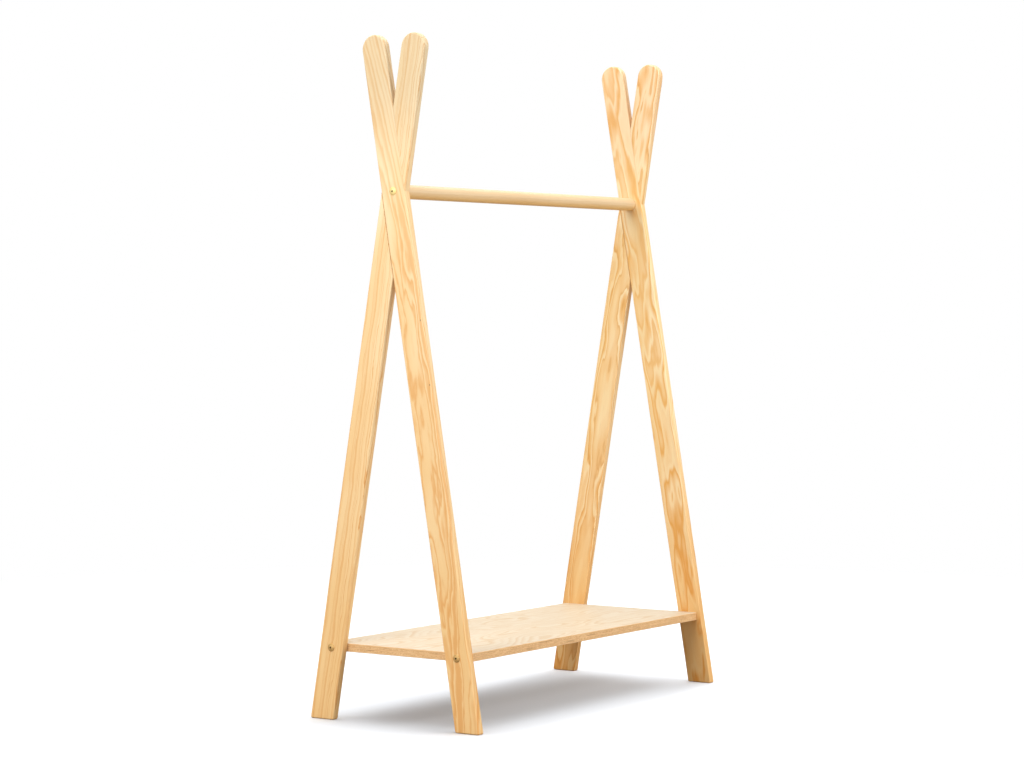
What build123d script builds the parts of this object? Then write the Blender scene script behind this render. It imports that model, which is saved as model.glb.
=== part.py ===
from build123d import *

import math
import os

# A free-standing clothes rack. Two crossed-leg end frames stand on the floor, a round
# rail joins them at their crossings, and a shelf joins them low down.
#
# Frame: origin on the floor at the middle of the rack, +X along the rail towards the
# right end frame, +Y towards the rear, +Z up. All sizes are in millimetres.

# ---- driving dimensions: the whole rack ----
RACK_LENGTH = 960.0  # outer face to outer face of the end frames
RACK_HEIGHT = 1450.0  # floor to the leg tips
CROSSING_HEIGHT = 1120.0  # floor to the point where the legs of a frame cross
LEG_LEAN = 9.6  # degrees that each leg leans from upright

# ---- legs ----
PLANK_WIDTH = 60.0
PLANK_THICKNESS = 18.0
LEG_EDGE_ROUND = 3.0  # rounding along every long edge, tip and foot edge
FOOT_CORNER_ROUND = 4.0  # rounding of the two foot corners, seen face on

# ---- hanging rail ----
RAIL_DIAMETER = 30.0
RAIL_END_CHAMFER = 1.2

# ---- shelf ----
SHELF_DEPTH = 365.0
SHELF_THICKNESS = 18.0
SHELF_TOP_HEIGHT = 163.0
SHELF_EDGE_ROUND = 1.2

# ---- M6 connector bolts ----
BOLT_DIAMETER = 6.0
BOLT_HOLE_DIAMETER = 7.0
BOLT_HEAD_DIAMETER = 17.0
BOLT_HEAD_HEIGHT = 3.0
BOLT_RIM_HEIGHT = 0.9  # straight rim below the head's dome
BOLT_TIP_CHAMFER = 0.8
SOCKET_ACROSS_FLATS = 4.0
SOCKET_DEPTH = 2.4
RAIL_BOLT_LENGTH = 40.0  # under the head
SHELF_BOLT_LENGTH = 60.0  # under the head

# ---- threaded fittings inside the wood ----
THREAD_CLEARANCE = 0.02  # radial, between a bolt and the fitting that it screws into
FITTING_CLEARANCE = 0.05  # radial, between a fitting and the wood
INSERT_DIAMETER = 10.0
INSERT_LENGTH = 20.0
BARREL_NUT_DIAMETER = 10.0
BARREL_NUT_LENGTH = 13.0
BARREL_NUT_HOLE_DEPTH = 16.0  # from the shelf's underside
BARREL_NUT_INSET = 30.0  # from the shelf's end to the nut's centre
DRIVER_SLOT_WIDTH = 1.5
DRIVER_SLOT_DEPTH = 1.6
BOLT_TIP_ROOM = 4.0  # hole left beyond the tip of a bolt
HEXAGON_SIDES = 6

# ---- worked out from the above ----
LEAN = math.radians(LEG_LEAN)
INNER_HALF_LENGTH = RACK_LENGTH / 2 - PLANK_THICKNESS
HALF_THICKNESS = PLANK_THICKNESS / 2
TIP_ARC_HEIGHT = RACK_HEIGHT - PLANK_WIDTH / 2  # centre of the rounded tip
SHELF_MID_HEIGHT = SHELF_TOP_HEIGHT - SHELF_THICKNESS / 2
SHELF_BOLT_OFFSET = (CROSSING_HEIGHT - SHELF_MID_HEIGHT) * math.tan(LEAN)  # from Y = 0
LONG_ENOUGH = 2 * RACK_HEIGHT  # longer than any cut needs to be
ON_THE_FLOOR = 1.0  # corners lower than this are foot corners

# The front leg has its foot in front and its tip at the rear; the rear leg is the other
# way round. The number is the side, along Y, that the tip leans to.
LEG_TIP_SIDES = {"front": 1, "rear": -1}
END_FRAME_SIDES = {"left": -1, "right": 1}


def leg_directions(tip_side):
    """Unit vectors along a leg (towards its tip) and across it (towards the rear), in Y and Z."""
    along = Vector(tip_side * math.sin(LEAN), math.cos(LEAN))
    across = Vector(math.cos(LEAN), -tip_side * math.sin(LEAN))
    return along, across


def leg_outline(tip_side):
    """Face-on shape of a leg: a leaning plank with a round tip and a foot cut level with the floor."""
    along, across = leg_directions(tip_side)
    crossing = Vector(0, CROSSING_HEIGHT)
    half_width = across * (PLANK_WIDTH / 2)
    tip_centre = crossing + along * ((TIP_ARC_HEIGHT - CROSSING_HEIGHT) / math.cos(LEAN))
    foot_half_width = Vector(PLANK_WIDTH / 2 / math.cos(LEAN), 0)
    foot_centre = Vector(-tip_side * CROSSING_HEIGHT * math.tan(LEAN), 0)

    tip_middle = tip_centre + along * (PLANK_WIDTH / 2)
    tip = ThreePointArc(tip_centre - half_width, tip_middle, tip_centre + half_width)
    rear_edge = Line(tip_centre + half_width, foot_centre + foot_half_width)
    foot = Line(foot_centre + foot_half_width, foot_centre - foot_half_width)
    front_edge = Line(foot_centre - foot_half_width, tip_centre - half_width)
    outline = make_face([tip, rear_edge, foot, front_edge])
    foot_corners = outline.vertices().filter_by(lambda corner: corner.Y < ON_THE_FLOOR)
    return fillet(foot_corners, FOOT_CORNER_ROUND)


def lap_housing(other_tip_side, from_x):
    """The half-thickness housing that takes the other leg of the frame, cut to that leg's width."""
    along, _ = leg_directions(other_tip_side)
    lap_plane = Plane(
        origin=(from_x + HALF_THICKNESS / 2, 0, CROSSING_HEIGHT),
        x_dir=(1, 0, 0),
        z_dir=(0, along.X, along.Y),
    )
    return lap_plane * Box(HALF_THICKNESS, PLANK_WIDTH, LONG_ENOUGH)


def hole_along_x(y, z, radius):
    """A cutter along X through the whole rack."""
    return Pos(0, y, z) * Rot(0, 90, 0) * Cylinder(radius, LONG_ENOUGH)


def make_leg(leg, x_face):
    """One leg, with its lower-X face at x_face. The two legs of a frame are half-lapped flush.

    The front leg keeps the half towards -X at the crossing and the rear leg the half towards +X,
    in both end frames.
    """
    tip_side = LEG_TIP_SIDES[leg]
    plank = Pos(x_face, 0, 0) * extrude(Plane.YZ * leg_outline(tip_side), PLANK_THICKNESS)
    faces = plank.faces().sort_by(Axis.X)
    plank = fillet(faces[0].edges() + faces[-1].edges(), LEG_EDGE_ROUND)
    housing_x = x_face + HALF_THICKNESS if leg == "front" else x_face
    plank -= lap_housing(-tip_side, housing_x)
    plank -= hole_along_x(0, CROSSING_HEIGHT, BOLT_HOLE_DIAMETER / 2)
    plank -= hole_along_x(-tip_side * SHELF_BOLT_OFFSET, SHELF_MID_HEIGHT, BOLT_HOLE_DIAMETER / 2)
    return plank


def end_plane(side, x_distance, y, z):
    """A plane across the X axis on one side of the rack, facing outwards."""
    return Plane(origin=(side * x_distance, y, z), x_dir=(0, 1, 0), z_dir=(side, 0, 0))


def blind_hole(diameter, depth):
    """A cutter from the plane z = 0 down to a depth below it."""
    return Cylinder(diameter / 2, depth, align=(Align.CENTER, Align.CENTER, Align.MAX))


def make_rail():
    """The round rail, with a stepped hole in each end for the insert and the bolt's tip."""
    rail = Rot(0, 90, 0) * Cylinder(RAIL_DIAMETER / 2, 2 * INNER_HALF_LENGTH)
    rail = chamfer(rail.edges(), RAIL_END_CHAMFER)
    rail = Pos(0, 0, CROSSING_HEIGHT) * rail
    bolt_reach = RAIL_BOLT_LENGTH - PLANK_THICKNESS + BOLT_TIP_ROOM
    for side in END_FRAME_SIDES.values():
        end = end_plane(side, INNER_HALF_LENGTH, 0, CROSSING_HEIGHT)
        rail -= end * blind_hole(INSERT_DIAMETER + 2 * FITTING_CLEARANCE, INSERT_LENGTH)
        rail -= end * blind_hole(BOLT_HOLE_DIAMETER, bolt_reach)
    return rail


def make_shelf():
    """The shelf board, with a bolt hole and a barrel nut hole at each corner."""
    shelf = Box(2 * INNER_HALF_LENGTH, SHELF_DEPTH, SHELF_THICKNESS)
    shelf = fillet(shelf.edges(), SHELF_EDGE_ROUND)
    shelf = Pos(0, 0, SHELF_MID_HEIGHT) * shelf
    bolt_reach = SHELF_BOLT_LENGTH - PLANK_THICKNESS + BOLT_TIP_ROOM
    underside = SHELF_TOP_HEIGHT - SHELF_THICKNESS
    nut_hole_diameter = BARREL_NUT_DIAMETER + 2 * FITTING_CLEARANCE
    for side in END_FRAME_SIDES.values():
        for tip_side in LEG_TIP_SIDES.values():
            y = -tip_side * SHELF_BOLT_OFFSET
            nut_x = side * (INNER_HALF_LENGTH - BARREL_NUT_INSET)
            end = end_plane(side, INNER_HALF_LENGTH, y, SHELF_MID_HEIGHT)
            below = Plane(origin=(nut_x, y, underside), z_dir=(0, 0, -1))
            shelf -= end * blind_hole(BOLT_HOLE_DIAMETER, bolt_reach)
            shelf -= below * blind_hole(nut_hole_diameter, BARREL_NUT_HOLE_DEPTH)
    return shelf


def make_bolt(length):
    """An M6 connector bolt with a low domed head and a hex socket, its head's seat on z = 0."""
    head_radius = BOLT_HEAD_DIAMETER / 2
    shank_radius = BOLT_DIAMETER / 2
    crown = Vector(0, BOLT_HEAD_HEIGHT)
    rim_top = Vector(head_radius, BOLT_RIM_HEIGHT)
    # the dome is a circle's arc through the rim and the crown, level at the crown
    dome_rise = BOLT_HEAD_HEIGHT - BOLT_RIM_HEIGHT
    dome_radius = (head_radius**2 + dome_rise**2) / (2 * dome_rise)
    half_angle = math.asin(head_radius / dome_radius) / 2
    dome_middle = Vector(
        dome_radius * math.sin(half_angle),
        BOLT_HEAD_HEIGHT - dome_radius * (1 - math.cos(half_angle)),
    )
    section = make_face(
        [
            ThreePointArc(crown, dome_middle, rim_top),
            Polyline(
                rim_top,
                (head_radius, 0),
                (shank_radius, 0),
                (shank_radius, BOLT_TIP_CHAMFER - length),
                (shank_radius - BOLT_TIP_CHAMFER, -length),
                (0, -length),
                crown,
            ),
        ]
    )
    bolt = revolve(Plane.XZ * section, Axis.Z)
    socket = RegularPolygon(SOCKET_ACROSS_FLATS / 2, HEXAGON_SIDES, major_radius=False)
    bolt -= Pos(0, 0, BOLT_HEAD_HEIGHT - SOCKET_DEPTH) * extrude(socket, SOCKET_DEPTH)
    return bolt


def driver_slot(diameter):
    """A cutter for a screwdriver slot across a fitting's end, down from z = 0."""
    return Box(DRIVER_SLOT_WIDTH, 2 * diameter, 2 * DRIVER_SLOT_DEPTH)


def make_rail_insert():
    """A threaded insert with its slotted end on z = 0, facing +Z."""
    insert = blind_hole(INSERT_DIAMETER, INSERT_LENGTH)
    insert -= Cylinder(BOLT_DIAMETER / 2 + THREAD_CLEARANCE, LONG_ENOUGH)
    return insert - driver_slot(INSERT_DIAMETER)


def make_barrel_nut():
    """A barrel nut standing on Z about the origin, cross-drilled along X, slotted underneath."""
    nut = Cylinder(BARREL_NUT_DIAMETER / 2, BARREL_NUT_LENGTH)
    nut -= Rot(0, 90, 0) * Cylinder(BOLT_DIAMETER / 2 + THREAD_CLEARANCE, LONG_ENOUGH)
    slot = Pos(0, 0, -BARREL_NUT_LENGTH / 2) * Rot(0, 0, 90) * driver_slot(BARREL_NUT_DIAMETER)
    return nut - slot


def make_parts():
    """Every piece of the rack in its place, by node name."""
    parts = {"hanging_rail": make_rail(), "shelf": make_shelf()}
    rail_bolt = make_bolt(RAIL_BOLT_LENGTH)
    shelf_bolt = make_bolt(SHELF_BOLT_LENGTH)
    rail_insert = make_rail_insert()
    barrel_nut = make_barrel_nut()
    for end, side in END_FRAME_SIDES.items():
        x_face = -RACK_LENGTH / 2 if end == "left" else INNER_HALF_LENGTH
        nut_x = side * (INNER_HALF_LENGTH - BARREL_NUT_INSET)
        bolt_seat = end_plane(side, RACK_LENGTH / 2, 0, CROSSING_HEIGHT)
        rail_end = end_plane(side, INNER_HALF_LENGTH, 0, CROSSING_HEIGHT)
        parts[f"{end}_rail_bolt"] = bolt_seat * rail_bolt
        parts[f"{end}_rail_insert"] = rail_end * rail_insert
        for leg, tip_side in LEG_TIP_SIDES.items():
            y = -tip_side * SHELF_BOLT_OFFSET
            bolt_seat = end_plane(side, RACK_LENGTH / 2, y, SHELF_MID_HEIGHT)
            parts[f"{end}_{leg}_leg"] = make_leg(leg, x_face)
            parts[f"{end}_{leg}_shelf_bolt"] = bolt_seat * shelf_bolt
            parts[f"{end}_{leg}_barrel_nut"] = Pos(nut_x, y, SHELF_MID_HEIGHT) * barrel_nut
    return parts


os.makedirs("parts", exist_ok=True)
for node, solid in make_parts().items():
    export_step(solid, f"parts/{node}.step")
    print(node, round(solid.volume), "mm3")
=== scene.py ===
"""A free-standing pine clothes rack: crossed-leg end frames, a round rail and a plywood shelf."""

import logging
import math
from dataclasses import dataclass
from enum import Enum

import bpy
from mathutils import Matrix, Vector


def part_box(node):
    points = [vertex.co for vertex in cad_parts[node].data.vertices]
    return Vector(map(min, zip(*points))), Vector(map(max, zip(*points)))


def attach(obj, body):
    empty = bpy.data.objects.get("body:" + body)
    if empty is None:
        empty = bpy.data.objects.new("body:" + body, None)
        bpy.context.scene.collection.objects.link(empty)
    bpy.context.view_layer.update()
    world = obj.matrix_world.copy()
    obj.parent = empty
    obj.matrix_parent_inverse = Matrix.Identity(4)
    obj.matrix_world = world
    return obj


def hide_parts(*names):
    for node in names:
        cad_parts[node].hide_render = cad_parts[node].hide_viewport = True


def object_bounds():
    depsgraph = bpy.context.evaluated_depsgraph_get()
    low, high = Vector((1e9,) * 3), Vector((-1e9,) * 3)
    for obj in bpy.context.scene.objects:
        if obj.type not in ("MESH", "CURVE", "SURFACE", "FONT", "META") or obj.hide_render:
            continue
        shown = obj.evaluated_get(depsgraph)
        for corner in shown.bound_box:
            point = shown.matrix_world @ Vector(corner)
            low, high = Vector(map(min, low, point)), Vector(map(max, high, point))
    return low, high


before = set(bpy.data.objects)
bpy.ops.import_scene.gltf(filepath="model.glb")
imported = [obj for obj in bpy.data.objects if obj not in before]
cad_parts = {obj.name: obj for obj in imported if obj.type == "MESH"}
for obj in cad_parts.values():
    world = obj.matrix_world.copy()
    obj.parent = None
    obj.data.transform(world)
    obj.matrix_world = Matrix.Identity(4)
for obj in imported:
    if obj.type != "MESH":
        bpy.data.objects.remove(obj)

CAD_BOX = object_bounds()
BODY = "root"
LOG = logging.getLogger("clothes_rack")

Triple = tuple[float, float, float]
Colour = Triple
Point = tuple[float, float]
Socket = bpy.types.NodeSocket
Inputs = dict[int | str, object]

MM = 0.001
UP: Triple = (0.0, 0.0, 1.0)
WHITE: Colour = (1.0, 1.0, 1.0)
QUARTER_TURN = math.radians(90)

MIX_INPUTS = (0, 6, 7)
MIX_OUTPUT = 2
FLOAT, VECTOR, INTEGER = "NodeSocketFloat", "NodeSocketVector", "NodeSocketInt"
MATERIAL, OBJECT = "NodeSocketMaterial", "NodeSocketObject"


class Named(Enum):
    """Options whose names are part of node names."""

    @property
    def word(self) -> str:
        """The option's name in node names."""
        return self.name.lower()


class End(Named):
    """The two end frames, by the side of the rack that each stands on."""

    LEFT = -1
    RIGHT = 1


class Leg(Named):
    """The two legs of an end frame, named for their feet. The value is the side that the tip leans to."""

    FRONT = 1
    REAR = -1


class Slot(Enum):
    """Names for material slots, which the script does not use."""

    PLANKS = "pine_planks"
    RAIL = "pine_rail"
    BOLTS = "brass_bolts"


# ---- node trees


class NodeSheet:
    """Draws one node tree: adds nodes, fills their inputs and links them."""

    def __init__(self, tree: bpy.types.NodeTree) -> None:
        """Starts on a shader or geometry tree."""
        self.tree = tree

    def add(self, kind: str, inputs: Inputs | None = None, **settings: object) -> bpy.types.Node:
        """Adds a node.

        Args:
            kind: The node's type name.
            inputs: Values or sockets for its inputs, by name or number.
            **settings: Properties of the node, such as its operation.

        Returns:
            The new node.
        """
        node = self.tree.nodes.new(kind)
        for name, value in settings.items():
            setattr(node, name, value)
        for key, value in (inputs or {}).items():
            self.fill(node.inputs[key], value)
        return node

    def out(self, kind: str, inputs: Inputs | None = None, **settings: object) -> Socket:
        """Adds a node as add does, and returns its first output."""
        return self.add(kind, inputs, **settings).outputs[0]

    def fill(self, socket: Socket, value: object) -> None:
        """Links an input to another node's socket, or sets its own plain value."""
        if isinstance(value, bpy.types.NodeSocket):
            self.tree.links.new(value, socket)
        elif socket.type == "RGBA" and len(value) == 3:
            socket.default_value = (*value, 1.0)
        else:
            socket.default_value = value

    def math(self, sum_name: str, a: object, b: object = 0.0, c: object = 0.0, clamp: bool = False) -> Socket:
        """One sum on up to three numbers. A clamped result stays between 0 and 1."""
        return self.out("ShaderNodeMath", {0: a, 1: b, 2: c}, operation=sum_name, use_clamp=clamp)

    def plus(self, a: object, b: object) -> Socket:
        """One number plus another."""
        return self.math("ADD", a, b)

    def minus(self, a: object, b: object) -> Socket:
        """One number less another."""
        return self.math("SUBTRACT", a, b)

    def times(self, a: object, b: object) -> Socket:
        """One number times another."""
        return self.math("MULTIPLY", a, b)

    def vector(self, operation: str, a: object, b: object = (0.0, 0.0, 0.0)) -> bpy.types.Node:
        """One sum on vectors, as a node whose outputs hold a vector or a number."""
        return self.add("ShaderNodeVectorMath", {0: a, 1: b}, operation=operation)

    def moved(self, place: Socket, by: object) -> Socket:
        """A place with a vector added."""
        return self.vector("ADD", place, by).outputs[0]

    def scaled(self, place: Socket, scale: Triple) -> Socket:
        """A place stretched along each axis by its own factor."""
        return self.vector("MULTIPLY", place, scale).outputs[0]

    def length(self, place: Socket) -> Socket:
        """How far a place is from the origin."""
        return self.vector("LENGTH", place).outputs[1]

    def split(self, place: Socket) -> bpy.types.bpy_prop_collection:
        """A place's three coordinates."""
        return self.add("ShaderNodeSeparateXYZ", {0: place}).outputs


class ShaderSheet(NodeSheet):
    """A node sheet with the parts that the finishes share."""

    def own_place(self) -> Socket:
        """Coordinates on the object."""
        return self.add("ShaderNodeTexCoord").outputs["Object"]

    def about(self, centre: Triple, turn: Triple = (0.0, 0.0, 0.0)) -> Socket:
        """Coordinates on the object, about a centre and turned."""
        inputs = {"Vector": self.own_place(), "Location": centre, "Rotation": turn}
        return self.out("ShaderNodeMapping", inputs, vector_type="TEXTURE")

    def noise(self, place: Socket, scale: Triple, detail: float = 2.0, roughness: float = 0.5) -> Socket:
        """Soft noise about 0.5, by its cells per metre along each axis and its finer layers."""
        inputs = {"Vector": self.scaled(place, scale), "Scale": 1.0, "Detail": detail, "Roughness": roughness}
        return self.out("ShaderNodeTexNoise", inputs)

    def swing(self, value: Socket, reach: float) -> Socket:
        """Noise about 0.5 turned into a number that swings to either side of 0 by about reach."""
        return self.times(self.minus(value, 0.5), 2.0 * reach)

    def rise(self, value: Socket, low: float, high: float, below: float = 0.0, above: float = 1.0) -> Socket:
        """A smooth step from one result below low to another above high."""
        inputs = {0: value, 1: low, 2: high, 3: below, 4: above}
        return self.out("ShaderNodeMapRange", inputs, interpolation_type="SMOOTHSTEP")

    def mix(self, share: object, a: object, b: object, how: str = "MIX") -> Socket:
        """Two colours mixed, with a share from 0 to 1 of the second."""
        node = self.add("ShaderNodeMix", data_type="RGBA", blend_type=how)
        for socket, value in zip(MIX_INPUTS, (share, a, b)):
            self.fill(node.inputs[socket], value)
        return node.outputs[MIX_OUTPUT]

    def tinted(self, share: object, colour: Socket, tone: object) -> Socket:
        """A colour multiplied by a tone, as far as a share from 0 to 1."""
        return self.mix(share, colour, tone, "MULTIPLY")

    def latewood(self, part: Socket, start: float, peak: float) -> Socket:
        """How much latewood a part of the year has: it grows to a peak, and drops to nothing at 1."""
        return self.times(self.rise(part, start, peak), self.rise(part, peak, 1.0, 1.0, 0.0))

    def year_tone(self, count: Socket, low: float, high: float) -> Socket:
        """A number of its own for each year's ring, between low and high."""
        year = self.out("ShaderNodeTexWhiteNoise", {"W": self.math("FLOOR", count)}, noise_dimensions="1D")
        return self.rise(year, 0.0, 1.0, low, high)

    def facing(self, way: Triple, low: float, high: float) -> Socket:
        """How far the surface faces along an axis, from 0 below one cosine to 1 above another."""
        normal = self.add("ShaderNodeNewGeometry").outputs["Normal"]
        cosine = self.vector("DOT_PRODUCT", normal, way).outputs[1]
        return self.rise(self.math("ABSOLUTE", cosine), low, high)

    def relief(self, shader: bpy.types.Node, height: Socket, strength: float, depth: float) -> None:
        """Gives a surface fine relief, so many metres deep."""
        bump = self.out("ShaderNodeBump", {"Height": height, "Strength": strength, "Distance": depth})
        self.fill(shader.inputs["Normal"], bump)


def new_material(name: str) -> tuple[bpy.types.Material, ShaderSheet, bpy.types.Node]:
    """A fresh material, with a sheet on its tree and its surface shader."""
    material = bpy.data.materials.new(name)
    material.use_nodes = True
    shader = material.node_tree.nodes["Principled BSDF"]
    return material, ShaderSheet(material.node_tree), shader


# ---- finishes


LACQUER_SHINE = 0.35
WOOD_RELIEF = 0.25 * MM


@dataclass(frozen=True)
class Grain:
    """How a piece of pine was sawn from its log, in metres, in the piece's own frame.

    X is the piece's thickness, Y runs across it and Z along it.
    """

    heart: Point
    ring_width: float
    bend: float
    rim: float
    seed: float
    heart_drift: Point = (0.0, 0.0)
    sweep: float = 0.0
    sweep_middle: float = -0.45
    pace: float = 0.0040
    ripple: float = 0.0012
    ripples: float = 12.0
    jitter: float = 0.0003
    calm: float = 0.0
    late_from: float = 0.25
    late_peak: float = 0.85
    late_strength: float = 1.0


@dataclass(frozen=True)
class PineScales:
    """How fine each of pine's marks is, in cells per metre, and where its changes along a leg lie."""

    fibres: Triple = (1100.0, 1100.0, 16.0)
    ducts: Triple = (520.0, 520.0, 24.0)
    blushes: Triple = (14.0, 14.0, 3.5)
    waves: Triple = (5.0, 5.0, 2.6)
    rippling: float = 32.0
    jitter: float = 120.0
    pace: float = 110.0
    calmer: Point = (-0.20, 0.08)
    # Where the painted shade at the tip starts and is full, along the piece.
    tip: Point = (0.0, 0.24)
    # Where the painted shade on one side starts and is full, across the piece.
    dark_side: Point = (-0.002, 0.015)
    knot: Point = (0.0005, 0.0016)
    knot_squash: Triple = (0.0, 1.0, 0.55)


@dataclass(frozen=True)
class PineLook:
    """The colours of a piece of pine, and how they change along and across it, with painted shade towards the
    foot, at the tip and on one side.
    """

    early: Colour
    late: Colour
    blush: Colour
    rim: Colour = (0.62, 0.31, 0.10)
    duct: Colour = (0.45, 0.22, 0.08)
    end_grain: Colour = (0.62, 0.36, 0.15)
    knot: Colour = (0.16, 0.09, 0.04)
    # Painted shade on one side across the piece, used for the rail's underside.
    dark_tone: Colour = (1.0, 0.84, 0.48)
    dark_side: float = 0.0
    # Painted shade: the tip is toned darker.
    tip_tone: Colour = WHITE
    # Painted shade: darker towards the foot, full at deepest_at and gone at palest_at.
    deep_tone: Colour = (0.86, 0.72, 0.50)
    deepen: float = 0.0
    deepest_at: float = -1.1
    palest_at: float = 0.3


@dataclass(frozen=True)
class PineFinish:
    """Planed pine under a clear matt lacquer, with its growth rings running right through the piece."""

    name: str
    grain: Grain
    centre: Triple
    turn: Triple
    look: PineLook
    pin_knots: tuple[Point, ...] = ()
    scales: PineScales = PineScales()

    def make(self) -> bpy.types.Material:
        """Builds the material and returns it."""
        material, sheet, shader = new_material(self.name)
        place = sheet.about(self.centre, self.turn)
        late, ring_tone = self._rings(sheet, place)
        fibres = sheet.noise(place, self.scales.fibres, 3.0, 0.6)
        colour = self._wood(sheet, place, late, ring_tone)
        shade = sheet.plus(0.93, sheet.times(fibres, 0.14))
        grey = sheet.out("ShaderNodeCombineColor", {0: shade, 1: shade, 2: shade})
        colour = sheet.tinted(1.0, colour, grey)
        colour = self._marks(sheet, place, colour)
        colour = self._changes(sheet, place, colour)
        sheet.fill(shader.inputs["Base Color"], colour)
        roughness = sheet.minus(sheet.plus(0.46, sheet.swing(fibres, 0.07)), sheet.times(late, 0.05))
        sheet.fill(shader.inputs["Roughness"], roughness)
        shader.inputs["Specular IOR Level"].default_value = LACQUER_SHINE
        height = sheet.plus(sheet.times(late, 0.5), sheet.times(fibres, 0.5))
        sheet.relief(shader, height, 0.35, WOOD_RELIEF)
        return material

    def _wood(self, sheet: ShaderSheet, place: Socket, late: Socket, ring_tone: Socket) -> Socket:
        """The bare wood's colour, from its latewood and how strong each ring's latewood is."""
        blush = sheet.rise(sheet.noise(place, self.scales.blushes, 2.0), 0.35, 0.7)
        base = sheet.mix(blush, self.look.early, self.look.blush)
        colour = sheet.mix(sheet.times(late, ring_tone), base, self.look.late)
        rim = sheet.times(sheet.rise(late, 0.75, 1.0), self.grain.rim)
        return sheet.mix(sheet.times(rim, ring_tone), colour, self.look.rim)

    def _marks(self, sheet: ShaderSheet, place: Socket, colour: Socket) -> Socket:
        """A colour with the wood's resin ducts, darker end grain and pin knots."""
        ducts = sheet.rise(sheet.noise(place, self.scales.ducts, 1.0), 0.70, 0.80)
        colour = sheet.mix(sheet.times(ducts, 0.22), colour, self.look.duct)
        turned = Matrix.Rotation(self.turn[1], 3, "Y") @ Matrix.Rotation(self.turn[0], 3, "X")
        cut_across = sheet.facing(tuple(turned @ Vector(UP)), 0.55, 1.0)
        colour = sheet.mix(sheet.times(cut_across, 0.35), colour, self.look.end_grain)
        for across, along in self.pin_knots:
            off = sheet.vector("SUBTRACT", place, (0.0, across, along)).outputs[0]
            size = sheet.length(sheet.scaled(off, self.scales.knot_squash))
            colour = sheet.mix(sheet.rise(size, *self.scales.knot, 0.75, 0.0), colour, self.look.knot)
        return colour

    def _changes(self, sheet: ShaderSheet, place: Socket, colour: Socket) -> Socket:
        """A colour with painted shade: darker towards the foot, at the tip and on one side."""
        look, parts = self.look, sheet.split(place)
        # Painted shade, darker towards the foot.
        drift = sheet.rise(parts[2], look.deepest_at, look.palest_at, look.deepen, 0.0)
        colour = sheet.tinted(drift, colour, look.deep_tone)
        # Painted shade at the tip.
        colour = sheet.tinted(sheet.rise(parts[2], *self.scales.tip), colour, look.tip_tone)
        # Painted shade on one side: the rail's underside.
        if look.dark_side:
            side = sheet.rise(parts[0], *self.scales.dark_side, 0.0, look.dark_side)
            colour = sheet.tinted(side, colour, look.dark_tone)
        return colour

    def _rings(self, sheet: ShaderSheet, place: Socket) -> tuple[Socket, Socket]:
        """The growth rings.

        Args:
            sheet: The material's sheet.
            place: The piece's own coordinates.

        Returns:
            How much latewood there is, and how strong this ring's latewood is, both from 0 to 1.
        """
        grain, scales = self.grain, self.scales
        seeded = sheet.moved(place, (grain.seed, 2.0 * grain.seed, 3.0 * grain.seed))
        parts = sheet.split(place)
        squares = []
        for axis, (heart, drift, shift) in enumerate(zip(grain.heart, grain.heart_drift, (0.0, 7.3))):
            along = sheet.times(parts[2], drift)
            if axis and grain.sweep:
                off = sheet.math("POWER", sheet.minus(parts[2], grain.sweep_middle), 2.0)
                along = sheet.plus(along, sheet.times(off, grain.sweep))
            shifted = sheet.moved(seeded, (shift, shift, shift))
            wave = sheet.swing(sheet.noise(shifted, scales.waves, 1.0), grain.bend)
            centre = sheet.plus(sheet.plus(heart, along), wave)
            squares.append(sheet.math("POWER", sheet.minus(parts[axis], centre), 2.0))
        reach = sheet.math("SQRT", sheet.plus(*squares))

        wild = sheet.rise(parts[2], *scales.calmer, 1.0, 1.0 - grain.calm)
        ripple_scale = (scales.rippling, scales.rippling, grain.ripples)
        ripple = sheet.swing(sheet.noise(seeded, ripple_scale, 1.5), 2.0 * grain.ripple)
        jitter_scale = (scales.jitter, scales.jitter, 3.0 * grain.ripples)
        jitter = sheet.swing(sheet.noise(seeded, jitter_scale, 2.0), 2.0 * grain.jitter)
        reach = sheet.plus(reach, sheet.plus(sheet.times(ripple, wild), jitter))
        years = {"W": sheet.times(reach, scales.pace), "Scale": 1.0, "Detail": 1.0}
        pace = sheet.out("ShaderNodeTexNoise", years, noise_dimensions="1D")
        reach = sheet.plus(reach, sheet.times(sheet.swing(pace, 2.0 * grain.pace), wild))

        count = sheet.math("DIVIDE", reach, grain.ring_width)
        late = sheet.latewood(sheet.math("FRACT", count), grain.late_from, grain.late_peak)
        tone = sheet.times(sheet.year_tone(count, 0.4, 1.0), grain.late_strength)
        return late, sheet.times(tone, sheet.plus(sheet.times(wild, 0.5), 0.5))


@dataclass(frozen=True)
class PlyScales:
    """How fine each of the plywood's marks is, in cells per metre."""

    rings: Triple = (2.1, 9.0, 3.0)
    ring_count: float = 26.0
    ring_waver: Triple = (16.0, 70.0, 10.0)
    streaks: Triple = (9.0, 260.0, 50.0)
    fibres: Triple = (18.0, 1100.0, 1100.0)
    ply_waver: Triple = (30.0, 30.0, 30.0)
    ply_grain: Triple = (45.0, 45.0, 700.0)
    specks: Triple = (240.0, 240.0, 500.0)
    flecks: Triple = (18.0, 18.0, 260.0)
    glue_breaks: Triple = (14.0, 14.0, 60.0)


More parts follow.
